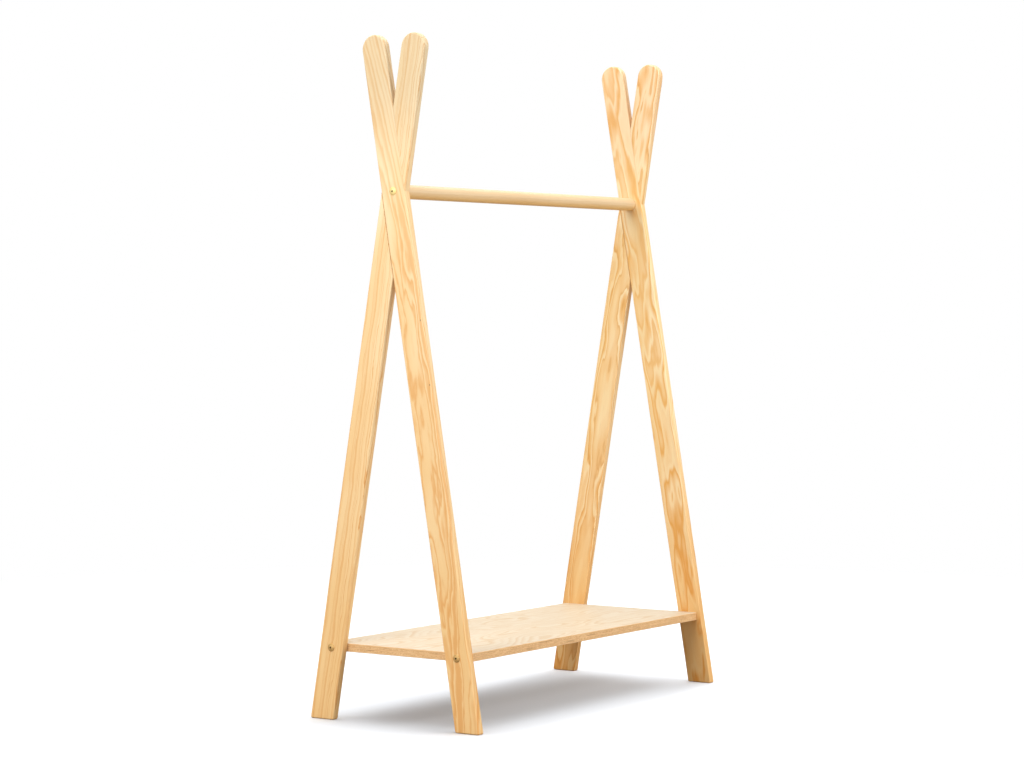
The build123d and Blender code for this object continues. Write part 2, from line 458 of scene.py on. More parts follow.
@dataclass(frozen=True)
class PlyFinish:
    """Pine plywood under a clear matt lacquer: peeled face veneers, and plies showing at the edges."""

    name: str
    middle: Triple
    thickness: float
    plies: int = 5
    pale: Colour = (0.66, 0.56, 0.42)
    band: Colour = (0.59, 0.42, 0.24)
    ply_long: Colour = (0.68, 0.40, 0.18)
    ply_pale: Colour = (0.83, 0.56, 0.29)
    ply_end: Colour = (0.60, 0.33, 0.13)
    fleck: Colour = (0.28, 0.14, 0.06)
    glue: Colour = (0.30, 0.15, 0.06)
    scales: PlyScales = PlyScales()

    def make(self) -> bpy.types.Material:
        """Builds the material and returns it."""
        material, sheet, shader = new_material(self.name)
        place = sheet.about(self.middle)
        face, late = self._veneer(sheet, place)
        edge, glue = self._edge(sheet, place)
        on_face = sheet.facing(UP, 0.55, 0.85)
        sheet.fill(shader.inputs["Base Color"], sheet.mix(on_face, edge, face))
        fibres = sheet.noise(place, self.scales.fibres, 3.0, 0.6)
        sheet.fill(shader.inputs["Roughness"], sheet.plus(0.48, sheet.swing(fibres, 0.08)))
        shader.inputs["Specular IOR Level"].default_value = LACQUER_SHINE
        height = sheet.plus(sheet.times(late, 0.4), sheet.times(fibres, 0.6))
        sheet.relief(shader, sheet.minus(height, glue), 0.3, WOOD_RELIEF)
        return material

    def _veneer(self, sheet: ShaderSheet, place: Socket) -> tuple[Socket, Socket]:
        """The peeled face veneer's colour, and how much latewood there is."""
        scales = self.scales
        count = sheet.times(sheet.noise(place, scales.rings, 1.0), scales.ring_count)
        count = sheet.plus(count, sheet.swing(sheet.noise(place, scales.ring_waver, 2.0), 0.5))
        late = sheet.latewood(sheet.math("FRACT", count), 0.2, 0.85)
        tone = sheet.year_tone(count, 0.3, 0.9)
        streaks = sheet.rise(sheet.noise(place, scales.streaks, 2.0), 0.45, 0.75)
        colour = sheet.mix(sheet.times(late, tone), self.pale, self.band)
        return sheet.mix(sheet.times(streaks, 0.3), colour, self.band), late

    def _edge(self, sheet: ShaderSheet, place: Socket) -> tuple[Socket, Socket]:
        """The colour of the plies that show at the edges, and where their glue lines are."""
        scales = self.scales
        level = sheet.plus(sheet.math("DIVIDE", sheet.split(place)[2], self.thickness), 0.5)
        count = sheet.times(level, self.plies)
        count = sheet.plus(count, sheet.swing(sheet.noise(place, scales.ply_waver, 2.0), 0.12))
        part = sheet.math("FRACT", count)
        crossed = sheet.math("ROUND", sheet.math("MODULO", sheet.math("FLOOR", count), 2.0))
        glue_over = sheet.rise(part, 0.93, 0.98)
        glue = sheet.math("ADD", sheet.rise(part, 0.03, 0.1, 1.0, 0.0), glue_over, clamp=True)
        grain = sheet.noise(place, scales.ply_grain, 3.0, 0.65)
        specks = sheet.noise(place, scales.specks, 2.0)
        long_ply = sheet.mix(sheet.rise(grain, 0.35, 0.7), self.ply_long, self.ply_pale)
        end_ply = sheet.mix(sheet.rise(specks, 0.35, 0.65), self.ply_end, self.ply_pale)
        colour = sheet.mix(sheet.times(crossed, 0.7), long_ply, end_ply)
        flecks = sheet.rise(sheet.noise(place, scales.flecks, 1.0), 0.64, 0.76)
        colour = sheet.mix(sheet.times(flecks, 0.45), colour, self.fleck)
        whole = sheet.rise(sheet.noise(place, scales.glue_breaks, 2.0), 0.35, 0.58)
        return sheet.mix(sheet.times(sheet.times(glue, whole), 0.7), colour, self.glue), glue


@dataclass(frozen=True)
class MetalFinish:
    """Plated metal, satin, with faint turning marks, a little tarnish and painted shade in the socket."""

    name: str
    bright: Colour
    dull: Colour
    roughness: float
    tarnish: Triple = (260.0, 260.0, 260.0)
    scratches: Triple = (900.0, 5200.0, 5200.0)
    # Painted shade: how dark the socket's recess is.
    grime: float = 0.30
    depth: float = 0.05 * MM

    def make(self) -> bpy.types.Material:
        """Builds the material and returns it."""
        material, sheet, shader = new_material(self.name)
        place = sheet.own_place()
        tarnish = sheet.rise(sheet.noise(place, self.tarnish, 3.0), 0.4, 0.75)
        scratches = sheet.noise(place, self.scratches, 2.0)
        colour = sheet.mix(tarnish, self.bright, self.dull)
        # Painted shade in the socket's recess.
        recess = sheet.add("ShaderNodeAttribute", attribute_name="recess").outputs["Fac"]
        shaded_socket = tuple(self.grime * part for part in self.dull)
        sheet.fill(shader.inputs["Base Color"], sheet.mix(recess, colour, shaded_socket))
        shader.inputs["Metallic"].default_value = 1.0
        sheet.fill(shader.inputs["Roughness"], sheet.plus(self.roughness, sheet.swing(scratches, 0.12)))
        sheet.relief(shader, scratches, 0.15, self.depth)
        return material


# ---- meshes


CORNER_STEPS = 20
EDGE_STEPS = 5
RIM_WELD = 0.02 * MM
LATHE_WELD = 0.01 * MM
LATHE_RADIUS = 10.0 * MM
DRILL_SIDES = 32
DRILL_LENGTH = 100.0 * MM
HEXAGON_SIDES = 6
SOCKET_INSIDE = 0.9
OVER_SEAT = 0.1 * MM


def link(name: str, mesh: bpy.types.Mesh) -> bpy.types.Object:
    """Puts a mesh in the scene as an object at the origin."""
    piece = bpy.data.objects.new(name, mesh)
    bpy.context.scene.collection.objects.link(piece)
    return piece


def settled(piece: bpy.types.Object) -> bpy.types.Object:
    """Turns a piece's modifiers into plain mesh, and returns the same piece."""
    shown = piece.evaluated_get(bpy.context.evaluated_depsgraph_get())
    mesh = bpy.data.meshes.new_from_object(shown)
    mesh.name = piece.name
    piece.modifiers.clear()
    piece.data = mesh
    return piece


def soften_shading(piece: bpy.types.Object, sharp_degrees: float = 35.0) -> bpy.types.Object:
    """Shades a piece smoothly, with flats kept flat and edges sharper than an angle kept crisp."""
    piece.data.shade_smooth()
    piece.data.set_sharp_from_angle(angle=math.radians(sharp_degrees))
    weighted = piece.modifiers.new("flat faces stay flat", "WEIGHTED_NORMAL")
    weighted.keep_sharp = True
    weighted.weight = 100
    return settled(piece)


def hand_in(piece: bpy.types.Object, nodes: list[str]) -> None:
    """Puts a finished piece on the rack and in place of its CAD nodes."""
    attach(piece, BODY)
    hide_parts(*nodes)
    LOG.info("%s stands for %s, with %d faces", piece.name, ", ".join(nodes), len(piece.data.polygons))


class ShapeSheet(NodeSheet):
    """A node sheet on a new geometry tree with named inputs, which ends in real geometry in its finish."""

    def __init__(self, name: str, sockets: dict[str, str]) -> None:
        """Starts a named tree, with the socket type of each input after the geometry."""
        tree = bpy.data.node_groups.new(name, "GeometryNodeTree")
        tree.interface.new_socket("Geometry", in_out="INPUT", socket_type="NodeSocketGeometry")
        for label, kind in sockets.items():
            tree.interface.new_socket(label, in_out="INPUT", socket_type=kind)
        tree.interface.new_socket("Geometry", in_out="OUTPUT", socket_type="NodeSocketGeometry")
        super().__init__(tree)
        self.given = self.add("NodeGroupInput").outputs
        self.result = self.add("NodeGroupOutput")

    def place(self, x: object = 0.0, y: object = 0.0, z: object = 0.0) -> Socket:
        """A place made of three numbers or sockets."""
        return self.out("ShaderNodeCombineXYZ", {0: x, 1: y, 2: z})

    def moved_shape(self, shape: Socket, **placing: object) -> Socket:
        """A shape with a Translation or a Rotation."""
        return self.out("GeometryNodeTransform", {"Geometry": shape} | placing)

    def cut(self, solid: Socket, cutter: Socket) -> Socket:
        """A solid with a cutter taken out of it."""
        node = self.add("GeometryNodeMeshBoolean", {0: solid}, operation="DIFFERENCE", solver="EXACT")
        self.tree.links.new(cutter, node.inputs[1])
        return node.outputs[0]

    def welded(self, shape: Socket, distance: float) -> Socket:
        """A mesh whose points within a distance of one another are one point."""
        return self.out("GeometryNodeMergeByDistance", {"Geometry": shape, "Distance": distance})

    def filleted(self, curve: Socket, steps: int, radius: object) -> Socket:
        """A curve of straight lines with its corners rounded."""
        inputs = {"Curve": curve, "Count": steps, "Radius": radius, "Limit Radius": True}
        return self.out("GeometryNodeFilletCurve", inputs, mode="POLY")

    def close(self, shape: Socket) -> bpy.types.NodeTree:
        """Ends the tree with real geometry in its finish, and returns it."""
        real = self.out("GeometryNodeRealizeInstances", {0: shape})
        dressed = self.out("GeometryNodeSetMaterial", {"Geometry": real, "Material": self.given["Finish"]})
        self.fill(self.result.inputs[0], dressed)
        return self.tree


def run_tree(piece: bpy.types.Object, tree: bpy.types.NodeTree, values: Inputs) -> bpy.types.Object:
    """Runs a tree on a piece with a value for each named input, and keeps the result as its mesh."""
    modifier = piece.modifiers.new(tree.name, "NODES")
    modifier.node_group = tree
    for item in tree.interface.items_tree:
        if item.in_out == "INPUT" and item.name in values:
            modifier[item.identifier] = values[item.name]
    return settled(piece)


PLANK_CORNERS = ("Foot Front", "Foot Rear", "Tip Rear", "Tip Front")
PLANK_PLACES = (*PLANK_CORNERS, "Lap Place", "Lap Turn", "Lap Size", "Upper Hole", "Lower Hole")
PLANK_MEASURES = ("Tip Round", "Foot Round", "Edge Round", "Thickness", "Hole Radius")
PLANK_SOCKETS = dict.fromkeys(PLANK_PLACES, VECTOR) | dict.fromkeys(PLANK_MEASURES, FLOAT)
PLANK_SOCKETS |= {"Finish": MATERIAL}
MIDDLE_INDEX = 1.5


def plank_tree() -> bpy.types.NodeTree:
    """The rule for a leg, drawn lying flat: X across the frame, Y up it and Z through its thickness.

    Four corners make the outline. Its corners are rounded, an edge profile is swept round it, both faces are
    filled, and the lap housing and bolt holes are cut away.

    Returns:
        The geometry tree.
    """
    sheet = ShapeSheet("leg_plank", PLANK_SOCKETS)
    value = sheet.given
    corners = sheet.add("GeometryNodeCurvePrimitiveQuadrilateral", mode="POINTS")
    points = [socket for socket in corners.inputs if socket.name.startswith("Point")]
    for socket, name in zip(points, PLANK_CORNERS):
        sheet.fill(socket, value[name])
    is_tip = sheet.math("GREATER_THAN", sheet.out("GeometryNodeInputIndex"), MIDDLE_INDEX)
    tip_round = sheet.times(is_tip, value["Tip Round"])
    foot_round = sheet.times(sheet.minus(1.0, is_tip), value["Foot Round"])
    outline = sheet.filleted(corners.outputs[0], CORNER_STEPS, sheet.plus(tip_round, foot_round))
    outline = sheet.out("GeometryNodeSetCurveNormal", {0: outline}, mode="Z_UP")
    rim, floor_outline = swept_rim(sheet, outline, value["Edge Round"], value["Thickness"])
    lower = sheet.out("GeometryNodeFillCurve", {0: floor_outline}, mode="NGONS")
    upper = sheet.moved_shape(lower, Translation=sheet.place(z=value["Thickness"]))
    lower = sheet.out("GeometryNodeFlipFaces", {0: lower})
    joined = sheet.add("GeometryNodeJoinGeometry")
    for shell in (rim, lower, upper):
        sheet.tree.links.new(shell, joined.inputs[0])
    solid = sheet.welded(joined.outputs[0], RIM_WELD)

    housing = sheet.out("GeometryNodeMeshCube", {"Size": value["Lap Size"]})
    housing = sheet.moved_shape(housing, Translation=value["Lap Place"], Rotation=value["Lap Turn"])
    solid = sheet.cut(solid, housing)
    for name in ("Upper Hole", "Lower Hole"):
        size = {"Vertices": DRILL_SIDES, "Radius": value["Hole Radius"], "Depth": DRILL_LENGTH}
        drill = sheet.out("GeometryNodeMeshCylinder", size)
        solid = sheet.cut(solid, sheet.moved_shape(drill, Translation=value[name]))
    return sheet.close(solid)


def swept_rim(sheet: ShapeSheet, outline: Socket, edge_round: Socket, thick: Socket) -> tuple[Socket, Socket]:
    """The rim of a rounded board.

    Args:
        sheet: The tree's sheet.
        outline: The outline curve, lying flat.
        edge_round: The radius of the long edges.
        thick: The board's thickness.

    Returns:
        The rim, and the outline of the flat face on z = 0 inside it.
    """
    inset = sheet.times(edge_round, -1.0)
    index = sheet.out("GeometryNodeInputIndex")
    off_middle = sheet.math("ABSOLUTE", sheet.minus(index, MIDDLE_INDEX))
    is_inner = sheet.math("COMPARE", off_middle, MIDDLE_INDEX, 0.1)
    is_high = sheet.math("GREATER_THAN", index, MIDDLE_INDEX)
    place = sheet.place(sheet.times(is_inner, inset), sheet.times(is_high, sheet.times(thick, -1.0)))
    points = sheet.out("GeometryNodeMeshLine", {"Count": 4})
    points = sheet.out("GeometryNodeSetPosition", {"Geometry": points, "Position": place})
    profile = sheet.filleted(sheet.out("GeometryNodeMeshToCurve", {0: points}), EDGE_STEPS, edge_round)
    rim = sheet.out("GeometryNodeCurveToMesh", {"Curve": outline, "Profile Curve": profile})
    rim = sheet.out("GeometryNodeFlipFaces", {0: rim})
    tangent = sheet.out("GeometryNodeInputTangent")
    shift = sheet.vector("SCALE", sheet.vector("CROSS_PRODUCT", tangent, UP).outputs[0])
    sheet.fill(shift.inputs["Scale"], inset)
    face = sheet.out("GeometryNodeSetPosition", {"Geometry": outline, "Offset": shift.outputs[0]})
    return rim, face


TURNED_MEASURES = ("Socket Radius", "Socket Top", "Socket Depth", "Spin")
TURNED_SOCKETS = dict.fromkeys(TURNED_MEASURES, FLOAT) | dict.fromkeys(("Segments", "Seed"), INTEGER)
TURNED_SOCKETS |= {"Seats": OBJECT, "Finish": MATERIAL}


def turned_tree() -> bpy.types.NodeTree:
    """The rule for turned parts: a half section is turned round an axis and set on every seat.

    The piece's own wire is the half section: X is the distance from the axis and Y the height. A hexagonal
    socket is cut into the top of each part, and each part has its own spin.

    Returns:
        The geometry tree.
    """
    sheet = ShapeSheet("turned_part", TURNED_SOCKETS)
    value = sheet.given
    place = sheet.split(sheet.out("GeometryNodeInputPosition"))
    drawn = sheet.place(sheet.minus(place[0], LATHE_RADIUS), sheet.times(place[1], -1.0))
    section = sheet.out("GeometryNodeSetPosition", {"Geometry": value["Geometry"], "Position": drawn})
    section = sheet.out("GeometryNodeMeshToCurve", {0: section})
    size = {"Resolution": value["Segments"], "Radius": LATHE_RADIUS}
    circle = sheet.out("GeometryNodeCurvePrimitiveCircle", size)
    circle = sheet.out("GeometryNodeSetCurveNormal", {0: circle}, mode="Z_UP")
    part = sheet.out("GeometryNodeCurveToMesh", {"Curve": circle, "Profile Curve": section})
    part = sheet.welded(part, LATHE_WELD)
    length = sheet.times(value["Socket Depth"], 2.0)
    size = {"Vertices": HEXAGON_SIDES, "Radius": value["Socket Radius"], "Depth": length}
    key = sheet.out("GeometryNodeMeshCylinder", size)
    key = sheet.moved_shape(key, Translation=sheet.place(z=value["Socket Top"]))
    part = sheet.cut(part, key)
    # The socket's faces are marked as recess, where the finish paints shade.
    off_axis = sheet.length(sheet.scaled(sheet.out("GeometryNodeInputPosition"), (1.0, 1.0, 0.0)))
    inside = sheet.math("LESS_THAN", off_axis, sheet.times(value["Socket Radius"], SOCKET_INSIDE))
    recess = sheet.times(inside, sheet.math("GREATER_THAN", place[2], OVER_SEAT))
    marking = {"Geometry": part, "Name": "recess", "Value": recess}
    marked = sheet.out("GeometryNodeStoreNamedAttribute", marking, data_type="FLOAT", domain="FACE")

    seats = sheet.add("GeometryNodeObjectInfo", {"Object": value["Seats"]}, transform_space="RELATIVE")
    facing = sheet.out("GeometryNodeInputNamedAttribute", {"Name": "facing"}, data_type="FLOAT_VECTOR")
    turn = sheet.out("FunctionNodeAlignRotationToVector", {"Vector": facing}, axis="Z")
    spin = sheet.add("FunctionNodeRandomValue", {"Seed": value["Seed"]}, data_type="FLOAT")
    sheet.fill(spin.inputs[2], sheet.times(value["Spin"], -1.0))
    sheet.fill(spin.inputs[3], value["Spin"])
    spun = sheet.out("FunctionNodeAxisAngleToRotation", {"Axis": UP, "Angle": spin.outputs[1]})
    turn = sheet.out("FunctionNodeRotateRotation", {0: turn, 1: spun}, rotation_space="LOCAL")
    placing = {"Points": seats.outputs["Geometry"], "Instance": marked, "Rotation": turn}
    return sheet.close(sheet.out("GeometryNodeInstanceOnPoints", placing))


# ---- sub-assemblies


@dataclass(frozen=True)
class EndFrame:
    """One end frame: two planks that cross in a half lap below their tips, and stand on their feet."""

    end: End
    grains: dict[Leg, Grain]
    knots: dict[Leg, tuple[Point, ...]]
    look: PineLook
    lean: float = math.radians(9.6)
    width: float = 60.0 * MM
    thickness: float = 18.0 * MM
    edge_round: float = 3.0 * MM
    foot_round: float = 4.0 * MM
    tip_slack: float = 0.05 * MM
    hole_radius: float = 3.5 * MM
    shelf_height: float = 154.0 * MM
    lap_spare: float = 1.0 * MM
    lap_widths: int = 6

    def build(self, tree: bpy.types.NodeTree) -> None:
        """Builds both legs with the leg's geometry tree."""
        for leg in Leg:
            self._leg(tree, leg)

    def _leg(self, tree: bpy.types.NodeTree, leg: Leg) -> None:
        """Builds one leg in place of its CAD node."""
        node = f"{self.end.word}_{leg.word}_leg"
        low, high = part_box(node)
        rail_low, rail_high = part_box("hanging_rail")
        crossing = (rail_low.z + rail_high.z) / 2
        piece = link(f"leg_{self.end.word}_{leg.word}", bpy.data.meshes.new(node))
        finish = PineFinish(
            name=f"pine_{self.end.word}_{leg.word}",
            grain=self.grains[leg],
            centre=((low.x + high.x) / 2, 0.0, crossing),
            turn=(-leg.value * self.lean, 0.0, 0.0),
            look=self.look,
            pin_knots=self.knots.get(leg, ()),
        ).make()
        run_tree(piece, tree, self._sizes(leg, crossing, high.z) | {"Finish": finish})
        upright = Matrix(((0, 0, 1, low.x), (1, 0, 0, 0), (0, 1, 0, 0), (0, 0, 0, 1)))
        piece.data.transform(upright)
        soften_shading(piece)
        hand_in(piece, [node])

    def _sizes(self, leg: Leg, crossing: float, height: float) -> dict[str, object]:
        """The leg's sizes for its geometry tree.

        Args:
            leg: Which leg it is.
            crossing: How high the legs cross.
            height: The frame's full height.

        Returns:
            A value for each named input, but for the finish.
        """
        lean = leg.value * self.lean
        half = self.width / 2
        along = Vector((math.sin(lean), math.cos(lean), 0))
        across = Vector((math.cos(lean), -math.sin(lean), 0))
        middle = Vector((0, crossing, 0))
        foot = Vector((-crossing * math.tan(lean), 0, 0))
        foot_half = Vector((half / math.cos(lean), 0, 0))
        tip = middle + along * ((height - half - crossing) / math.cos(lean) + half)
        keeps_low = leg is Leg.FRONT
        lap = self.thickness / 2 + self.lap_spare
        lap_middle = self.thickness + self.lap_spare - lap / 2 if keeps_low else lap / 2 - self.lap_spare
        shelf_bolt = Vector((-(crossing - self.shelf_height) * math.tan(lean), self.shelf_height, 0))
        return {
            "Foot Front": foot - foot_half,
            "Foot Rear": foot + foot_half,
            "Tip Rear": tip + across * half,
            "Tip Front": tip - across * half,
            "Tip Round": half - self.tip_slack,
            "Foot Round": self.foot_round,
            "Edge Round": self.edge_round,
            "Thickness": self.thickness,
            "Lap Place": (0.0, crossing, lap_middle),
            "Lap Turn": (0.0, 0.0, lean),
            "Lap Size": (self.width, self.lap_widths * self.width, lap),
            "Upper Hole": middle,
            "Lower Hole": shelf_bolt,
            "Hole Radius": self.hole_radius,
        }


@dataclass(frozen=True)
class TurnedPart:
    """A part turned round an axis, with any number of copies on their seats."""

    name: str
    section: tuple[Point, ...]
    segments: int
    socket_across: float = 0.0
    socket_top: float = 0.0
    socket_depth: float = 0.0
    spin: float = 0.0
    seed: int = 0

    def build(
        self, tree: bpy.types.NodeTree, seats: list[tuple[Vector, Vector]], finish: bpy.types.Material
    ) -> bpy.types.Object:
        """Turns the part and sets it on its seats.

        Args:
            tree: The turned part's geometry tree.
            seats: Where each copy sits, and which way it faces.
            finish: The part's material.

        Returns:
            The finished piece.
        """
        marks = link(f"{self.name}_seats", bpy.data.meshes.new("seats"))
        marks.data.from_pydata([place for place, _ in seats], [], [])
        facing = marks.data.attributes.new("facing", "FLOAT_VECTOR", "POINT")
        for item, (_, way) in zip(facing.data, seats):
            item.vector = way
        wire = bpy.data.meshes.new(self.name)
        points = [(radius, height, 0.0) for radius, height in self.section]
        wire.from_pydata(points, [(i, i + 1) for i in range(len(points) - 1)], [])
        piece = link(self.name, wire)
        values = {
            "Seats": marks,
            "Segments": self.segments,
            "Socket Radius": self.socket_across / math.sqrt(3.0),
            "Socket Top": self.socket_top,
            "Socket Depth": self.socket_depth,
            "Spin": self.spin,
            "Seed": self.seed,
            "Finish": finish,
        }
        run_tree(piece, tree, values)
        bpy.data.objects.remove(marks)
        return soften_shading(piece)


RAIL_GRAIN = Grain(
    heart=(0.021, -0.034), heart_drift=(0.004, 0.006), ring_width=0.0042, bend=0.003, pace=0.001,
    late_strength=0.55, rim=0.0, seed=3.7,
)
# The rail's underside is darkened with painted shade.
RAIL_LOOK = PineLook(
    early=(0.77, 0.57, 0.34), late=(0.71, 0.49, 0.26), blush=(0.75, 0.53, 0.30), dark_side=0.9,
)


@dataclass(frozen=True)
class HangingRail:
    """The round rail between the two crossings, bored at both ends for its inserts."""

    segments: int = 72
    chamfer: float = 1.2 * MM
    chamfer_ease: float = 0.3
    bore_radius: float = 5.05 * MM
    bore_depth: float = 20.0 * MM
    bolt_hole_radius: float = 3.5 * MM
    bolt_hole_depth: float = 26.0 * MM

    def build(self, tree: bpy.types.NodeTree) -> None:
        """Builds the rail in place of its CAD node, with the turned part's tree."""
        low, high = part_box("hanging_rail")
        length, radius, height = high.x - low.x, (high.z - low.z) / 2, (high.z + low.z) / 2
        eased = self.chamfer_ease * self.chamfer
        half_section = [
            (0.0, self.bolt_hole_depth),
            (self.bolt_hole_radius, self.bolt_hole_depth),
            (self.bolt_hole_radius, self.bore_depth),
            (self.bore_radius, self.bore_depth),
            (self.bore_radius, 0.0),
            (radius - self.chamfer, 0.0),
            (radius - eased, eased),
            (radius, self.chamfer),
        ]
        section = half_section + [(r, length - h) for r, h in reversed(half_section)]
        finish = PineFinish(
            name="pine_rail",
            grain=RAIL_GRAIN,
            centre=(0.0, 0.0, height),
            turn=(0.0, QUARTER_TURN, 0.0),
            look=RAIL_LOOK,
        ).make()
        part = TurnedPart("rail", tuple(section), segments=self.segments)
        piece = part.build(tree, [(Vector((low.x, 0, height)), Vector((1, 0, 0)))], finish)
        hand_in(piece, ["hanging_rail"])


@dataclass(frozen=True)
class ConnectorBolts:
    """The domed connector bolts, with hexagonal sockets, that hold the rack together."""

    segments: int = 48
    dome_steps: int = 10
    head_radius: float = 8.5 * MM
    head_height: float = 3.0 * MM
    rim_height: float = 0.9 * MM
    rim_round: float = 0.25 * MM
    shank_radius: float = 3.0 * MM
    tip_chamfer: float = 0.8 * MM
    socket_across: float = 4.0 * MM
    socket_depth: float = 2.4 * MM
    spin: float = math.radians(30)
    # The shelf bolts' brass is darker than the rail bolts'.
    bright: MetalFinish = MetalFinish("brass_bright", (0.96, 0.80, 0.40), (0.88, 0.68, 0.28), 0.70)
    aged: MetalFinish = MetalFinish("brass_aged", (0.72, 0.50, 0.22), (0.54, 0.35, 0.13), 0.70)

    def build(self, tree: bpy.types.NodeTree) -> None:
        """Builds the rail's two bolts and the shelf's four, with the turned part's tree."""
        rail_nodes = [f"{end.word}_rail_bolt" for end in End]
        shelf_nodes = [f"{end.word}_{leg.word}_shelf_bolt" for end in End for leg in Leg]
        rows = (
            ("rail_bolts", rail_nodes, self.bright, 2),
            ("shelf_bolts", shelf_nodes, self.aged, 5),
        )
        proud = CAD_BOX[1].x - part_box("right_front_leg")[1].x
        for name, nodes, finish, seed in rows:
            low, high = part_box(nodes[0])
            part = TurnedPart(
                name,
                self._section(high.x - low.x - proud),
                segments=self.segments,
                socket_across=self.socket_across,
                socket_top=self.head_height,
                socket_depth=self.socket_depth,
                spin=self.spin,
                seed=seed,
            )
            piece = part.build(tree, [self._seat(node, proud) for node in nodes], finish.make())
            hand_in(piece, nodes)

    def _seat(self, node: str, proud: float) -> tuple[Vector, Vector]:
        """Where a bolt's head sits, so proud of the leg, and which way it faces."""
        low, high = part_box(node)
        middle = (low + high) / 2
        if middle.x < 0:
            return Vector((low.x + proud, middle.y, middle.z)), Vector((-1, 0, 0))
        return Vector((high.x - proud, middle.y, middle.z)), Vector((1, 0, 0))

    def _section(self, shank: float) -> tuple[Point, ...]:
        """The bolt's half section from its tip to its crown: distance from the axis, and height."""
        rise = self.head_height - self.rim_height
        dome = (self.head_radius**2 + rise**2) / (2 * rise)
        full = math.asin(self.head_radius / dome)
        points = [
            (0.0, -shank),
            (self.shank_radius - self.tip_chamfer, -shank),
            (self.shank_radius, self.tip_chamfer - shank),
            (self.shank_radius, 0.0),
            (self.head_radius - self.rim_round, 0.0),
            (self.head_radius, self.rim_round),
            (self.head_radius, self.rim_height - self.rim_round / 2),
        ]
        for step in range(1, self.dome_steps + 1):
            angle = full * (1 - step / self.dome_steps)
            points.append((dome * math.sin(angle), self.head_height - dome * (1 - math.cos(angle))))
        return tuple(points)


def repaint(nodes: list[str], finish: bpy.types.Material) -> None:
    """Gives CAD nodes that stay a better finish."""
    for node in nodes:
        for material_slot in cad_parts[node].material_slots:
            material_slot.material = finish
        LOG.info("%s keeps its CAD shape, in %s", node, finish.name)


@dataclass(frozen=True)
class Shelf:
    """The plywood shelf board, whose CAD shape is right as it is."""

    node: str = "shelf"

    def dress(self) -> None:
        """Gives the board its plywood."""
        low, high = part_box(self.node)
        finish = PlyFinish("pine_plywood", tuple((low + high) / 2), high.z - low.z).make()
        repaint([self.node], finish)


@dataclass(frozen=True)
class Fittings:
    """The inserts and barrel nuts inside the wood, whose CAD shapes are right as they are."""

    plating: MetalFinish = MetalFinish("zinc_plating", (0.72, 0.72, 0.70), (0.52, 0.52, 0.50), 0.34)

    def dress(self) -> None:
        """Gives the fittings their zinc plating."""
        nodes = [f"{end.word}_rail_insert" for end in End]
        nodes += [f"{end.word}_{leg.word}_barrel_nut" for end in End for leg in Leg]
        repaint(nodes, self.plating.make())


# ---- studio


class LightRule(Enum):
    """What a light does with the object that it is linked to."""

    SPARES = "EXCLUDE"
    LIGHTS_ONLY = "INCLUDE"


@dataclass(frozen=True)
class SoftBox:
    """A square soft light."""

    name: str
    place: Triple
    target: Triple
    size: float
    power: float

    def hang(self, linked: bpy.types.Object | None = None, rule: LightRule = LightRule.SPARES) -> None:
        """Puts the light up.

        Args:
            linked: An object that this light treats in its own way.
            rule: Whether the light spares that object, or lights nothing else.
        """
        lamp = bpy.data.lights.new(self.name, "AREA")
        lamp.shape = "SQUARE"
        lamp.size = self.size
        lamp.energy = self.power
        light = bpy.data.objects.new(self.name, lamp)
        light.visible_camera = False
        bpy.context.scene.collection.objects.link(light)
        light.location = self.place
        way = Vector(self.target) - Vector(self.place)
        light.rotation_euler = way.to_track_quat("-Z", "Y").to_euler()
        if linked is not None:
            receivers = bpy.data.collections.new(f"{self.name}_receivers")
            receivers.objects.link(linked)
            receivers.collection_objects[0].light_linking.link_state = rule.value
            light.light_linking.receiver_collection = receivers


